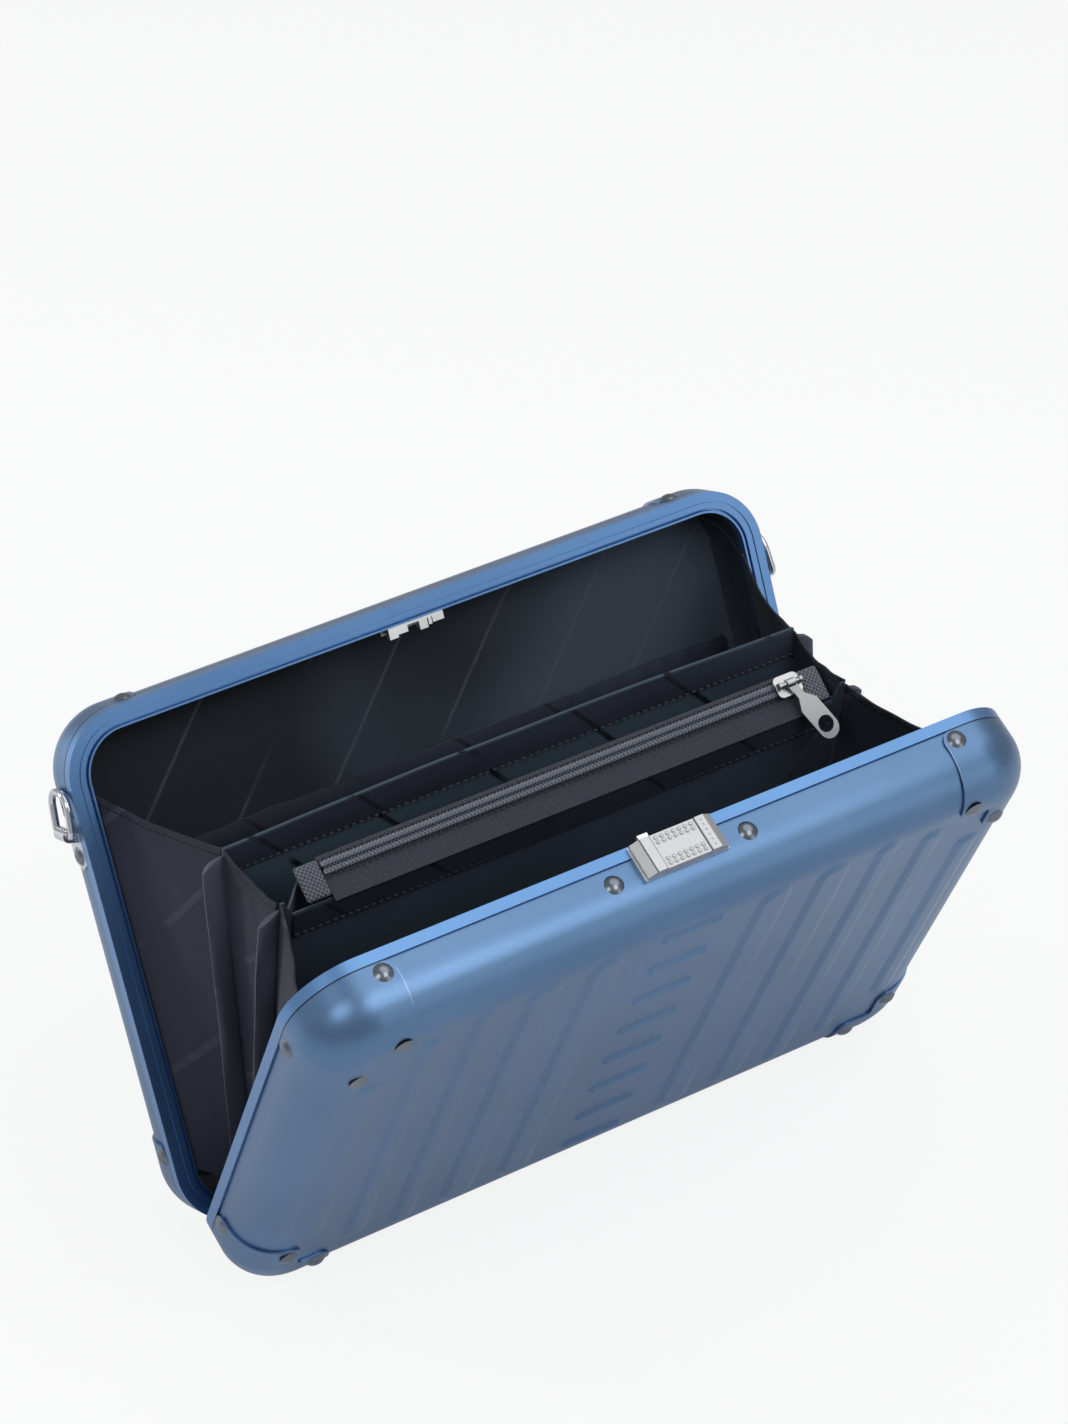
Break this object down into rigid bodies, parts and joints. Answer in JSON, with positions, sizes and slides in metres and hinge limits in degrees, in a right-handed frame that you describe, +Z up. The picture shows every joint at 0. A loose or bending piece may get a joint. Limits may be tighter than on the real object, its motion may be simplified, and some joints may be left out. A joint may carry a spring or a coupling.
{
  "type": "hard vanity case",
  "caption": "Hard-shell vanity case standing open, with blue ribbed aluminium shells, corner caps, a slide latch, strap rings, and a dark fabric divider and zipped pocket between the shells.",
  "frame": {"origin": "on the floor under the middle of the open case, midway between the two shells", "axes": "+X along the hinge, to the right seen from the latch side; -Y towards the front shell, which carries the latch; +Z up"},
  "size_m": [0.3168, 0.216, 0.1966],
  "materials": {
    "blue_skin": "satin anodised blue",
    "blue_rim": "satin anodised blue extrusion",
    "dark_rivet": "polished gunmetal",
    "bright_rivet": "polished",
    "hinge_steel": "satin",
    "nickel": "bright nickel",
    "ring_chrome": "polished",
    "lining_fabric": "charcoal satin weave",
    "gusset_fabric": "charcoal satin weave",
    "zip_tape": "coarse weave",
    "zip_coil": "nylon coil",
    "webbing": "coarse webbing",
    "zip_metal": "gunmetal"
  },
  "bodies": {
    "back_shell": {"back_shell_skin": "blue_skin", "back_rim_frame": "blue_rim", "back_top_left_cap": "blue_skin", "back_top_right_cap": "blue_skin", "back_bottom_left_cap": "blue_skin", "back_bottom_right_cap": "blue_skin", "back_cap_rivets": "dark_rivet", "back_gusset_rivets": "bright_rivet", "back_lining": "lining_fabric", "back_pocket_panel": "lining_fabric", "keeper_plate": "nickel", "keeper_blocks": "nickel", "keeper_rods": "nickel", "keeper_rivet": "bright_rivet", "back_hinge_leaves": "hinge_steel", "back_hinge_rivets": "bright_rivet", "hinge_pins": "hinge_steel", "left_ring_bracket": "ring_chrome", "right_ring_bracket": "ring_chrome", "ring_rivets": "dark_rivet", "left_gusset_back": "gusset_fabric", "right_gusset_back": "gusset_fabric"},
    "front_shell": {"front_shell_skin": "blue_skin", "front_rim_frame": "blue_rim", "front_top_left_cap": "blue_skin", "front_top_right_cap": "blue_skin", "front_bottom_left_cap": "blue_skin", "front_bottom_right_cap": "blue_skin", "front_cap_rivets": "dark_rivet", "front_gusset_rivets": "bright_rivet", "front_lining": "lining_fabric", "latch_base": "nickel", "latch_backplate": "hinge_steel", "latch_rivets": "dark_rivet", "front_hinge_leaves": "hinge_steel", "front_hinge_rivets": "bright_rivet", "left_gusset_front": "gusset_fabric", "right_gusset_front": "gusset_fabric", "floor_strip": "lining_fabric"},
    "latch_slider": {"latch_thumb_block": "nickel", "latch_claw": "nickel"},
    "divider": {"divider_board": "lining_fabric", "divider_hem": "lining_fabric", "left_gusset_middle": "gusset_fabric", "right_gusset_middle": "gusset_fabric"},
    "zip_pocket": {"pocket_front_wall": "lining_fabric", "pocket_back_wall": "lining_fabric", "pocket_hem": "lining_fabric", "zip_front_tape": "zip_tape", "zip_back_tape": "zip_tape", "zip_coils": "zip_coil", "zip_end_tabs": "webbing"},
    "slider": {"zip_slider": "zip_metal"},
    "pull": {"zip_pull": "zip_metal"},
    "left_strap_ring": {"left_ring": "ring_chrome"},
    "right_strap_ring": {"right_ring": "ring_chrome"}
  },
  "joints": [
    {"name": "shell_hinge", "type": "hinge", "parent": "back_shell", "child": "front_shell", "pos_m": [0, 0, 0.00447], "axis": [1, 0, 0], "range_deg": [-48.7, 0], "deforming": ["left_gusset_back", "right_gusset_back", "left_gusset_middle", "right_gusset_middle", "left_gusset_front", "right_gusset_front", "floor_strip"]},
    {"name": "divider_fold", "type": "hinge", "parent": "back_shell", "child": "divider", "pos_m": [0, 0, 0.00447], "axis": [1, 0, 0], "range_deg": [-20.76, 0]},
    {"name": "pocket_fold", "type": "hinge", "parent": "divider", "child": "zip_pocket", "pos_m": [0, 0, 0.00447], "axis": [1, 0, 0], "range_deg": [-6.91, 0]},
    {"name": "latch_slide", "type": "slide", "parent": "front_shell", "child": "latch_slider", "axis": [1, 0, 0], "range_m": [0, 0.0028]},
    {"name": "zip_travel", "type": "slide", "parent": "zip_pocket", "child": "slider", "axis": [1, 0, 0], "range_m": [-0.194, 0]},
    {"name": "pull_swing", "type": "hinge", "parent": "slider", "child": "pull", "pos_m": [0.1003, -0.01861, 0.17645], "axis": [1, 0, 0], "range_deg": [-134, 0]},
    {"name": "left_ring_swing", "type": "hinge", "parent": "back_shell", "child": "left_strap_ring", "pos_m": [-0.1558, 0.07714, 0.15067], "axis": [0, 0.911, -0.4123], "range_deg": [-160, 0]},
    {"name": "right_ring_swing", "type": "hinge", "parent": "back_shell", "child": "right_strap_ring", "pos_m": [0.1558, 0.07714, 0.15067], "axis": [0, 0.911, -0.4123], "range_deg": [0, 160]}
  ],
  "couplings": [
    {"joint": "divider_fold", "follows": "shell_hinge", "ratio": 0.42608},
    {"joint": "pocket_fold", "follows": "shell_hinge", "ratio": 0.14168}
  ]
}
